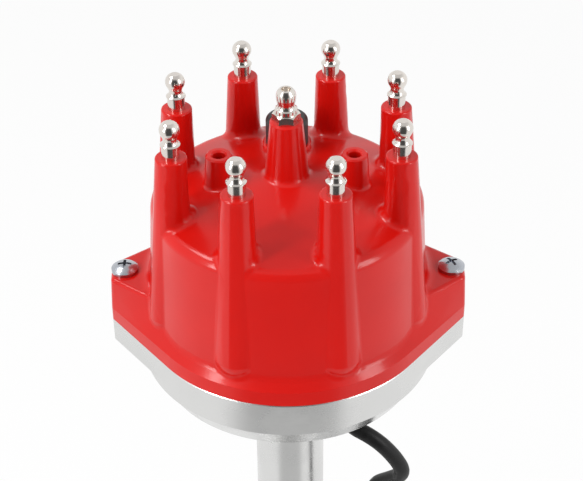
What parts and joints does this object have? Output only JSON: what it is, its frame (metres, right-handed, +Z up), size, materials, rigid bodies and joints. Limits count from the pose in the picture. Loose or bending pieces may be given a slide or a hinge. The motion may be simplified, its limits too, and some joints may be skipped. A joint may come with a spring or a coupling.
{
  "type": "ignition distributor",
  "caption": "Engine ignition distributor: red cap with male snap terminals on tall towers, bright bowl and barrel, geared shaft with rotor, reluctor and centrifugal advance.",
  "frame": {"origin": "the shaft axis at the hold-down flange's seating face on the engine", "axes": "+Z up the shaft to the cap; +X to one screw ear; -Y to the side between two towers that faces the viewer"},
  "size_m": [0.1246, 0.104, 0.3246],
  "materials": {
    "cap_red": "satin-gloss saturated red moulding",
    "terminal_steel": "polished stainless steel",
    "zinc_steel": "bright zinc plate",
    "black_plastic": "satin black plastic",
    "housing_aluminium": "fine-turned bright aluminium",
    "bearing_steel": "ground bearing steel",
    "spring_steel": "bright spring wire",
    "shaft_steel": "ground and oiled steel",
    "sintered_bronze": "sintered bronze",
    "gear_iron": "machined cast iron, oiled",
    "black_rubber": "matt black rubber",
    "plated_steel": "yellow-passivated steel",
    "magnet_ferrite": "sintered ferrite",
    "soft_iron": "laminated soft iron",
    "bobbin_plastic": "nylon spool",
    "copper_winding": "enamelled copper wire",
    "rotor_plastic": "black moulded rotor",
    "contact_brass": "polished brass",
    "carbon": "pressed carbon",
    "cable_sleeve": "matt black sleeve"
  },
  "bodies": {
    "housing": {"housing": "housing_aluminium", "housing_barrel": "housing_aluminium", "distributor_cap": "cap_red", "spark_terminal_1": "terminal_steel", "spark_terminal_2": "terminal_steel", "spark_terminal_3": "terminal_steel", "spark_terminal_4": "terminal_steel", "spark_terminal_5": "terminal_steel", "spark_terminal_6": "terminal_steel", "spark_terminal_7": "terminal_steel", "spark_terminal_8": "terminal_steel", "coil_terminal": "terminal_steel", "cap_screws": "zinc_steel", "vent_cap": "black_plastic", "barrel_o_rings": "black_rubber", "lower_bushing": "sintered_bronze", "bearing_outer_ring": "bearing_steel", "bearing_retaining_ring": "spring_steel", "pickup_plate": "plated_steel", "pickup_screws": "zinc_steel", "pickup_magnet": "magnet_ferrite", "pickup_pole": "soft_iron", "pickup_bobbin": "bobbin_plastic", "pickup_winding": "copper_winding", "cable_grommet": "black_rubber", "pickup_cable": "cable_sleeve", "cable_connector": "black_plastic", "button_spring": "spring_steel"},
    "shaft": {"drive_shaft": "shaft_steel", "drive_gear": "gear_iron", "gear_roll_pin": "spring_steel", "thrust_washers": "shaft_steel", "sleeve_washer": "shaft_steel", "advance_cam": "plated_steel", "advance_stop": "sintered_bronze", "bearing_inner_ring": "bearing_steel"},
    "ball_cage": {"bearing_balls": "bearing_steel", "bearing_cage": "contact_brass"},
    "rotor": {"weight_base": "plated_steel", "weight_pins": "shaft_steel", "reluctor": "soft_iron", "rotor_body": "rotor_plastic", "rotor_screws": "zinc_steel", "rotor_blade": "contact_brass", "rotor_contact": "contact_brass", "advance_spring_1": "spring_steel", "advance_spring_2": "spring_steel"},
    "weight_1": {"advance_weight_1": "plated_steel"},
    "weight_2": {"advance_weight_2": "plated_steel"},
    "button": {"carbon_button": "carbon"}
  },
  "joints": [
    {"name": "shaft_spin", "type": "hinge", "parent": "housing", "child": "shaft", "pos_m": [0, 0, 0], "axis": [0, 0, 1], "continuous": true},
    {"name": "ball_cage_spin", "type": "hinge", "parent": "housing", "child": "ball_cage", "pos_m": [0, 0, 0], "axis": [0, 0, 1], "continuous": true},
    {"name": "centrifugal_advance", "type": "hinge", "parent": "shaft", "child": "rotor", "pos_m": [0, 0, 0], "axis": [0, 0, -1], "range_deg": [0, 12], "deforming": ["advance_spring_1", "advance_spring_2"]},
    {"name": "weight_1_swing", "type": "hinge", "parent": "rotor", "child": "weight_1", "pos_m": [0.00201, 0.02301, 0.1273], "axis": [0, 0, -1], "range_deg": [0, 15.6]},
    {"name": "weight_2_swing", "type": "hinge", "parent": "rotor", "child": "weight_2", "pos_m": [-0.00201, -0.02301, 0.1273], "axis": [0, 0, -1], "range_deg": [0, 15.6]},
    {"name": "button_slide", "type": "slide", "parent": "housing", "child": "button", "axis": [0, 0, 1], "range_m": [0, 0.0015], "stiffness_N_per_m": 400, "springref_m": -0.001, "deforming": ["button_spring"]}
  ],
  "couplings": [
    {"joint": "ball_cage_spin", "follows": "shaft_spin", "ratio": 0.391},
    {"joint": "weight_1_swing", "follows": "centrifugal_advance", "ratio": 1.3},
    {"joint": "weight_2_swing", "follows": "centrifugal_advance", "ratio": 1.3}
  ]
}
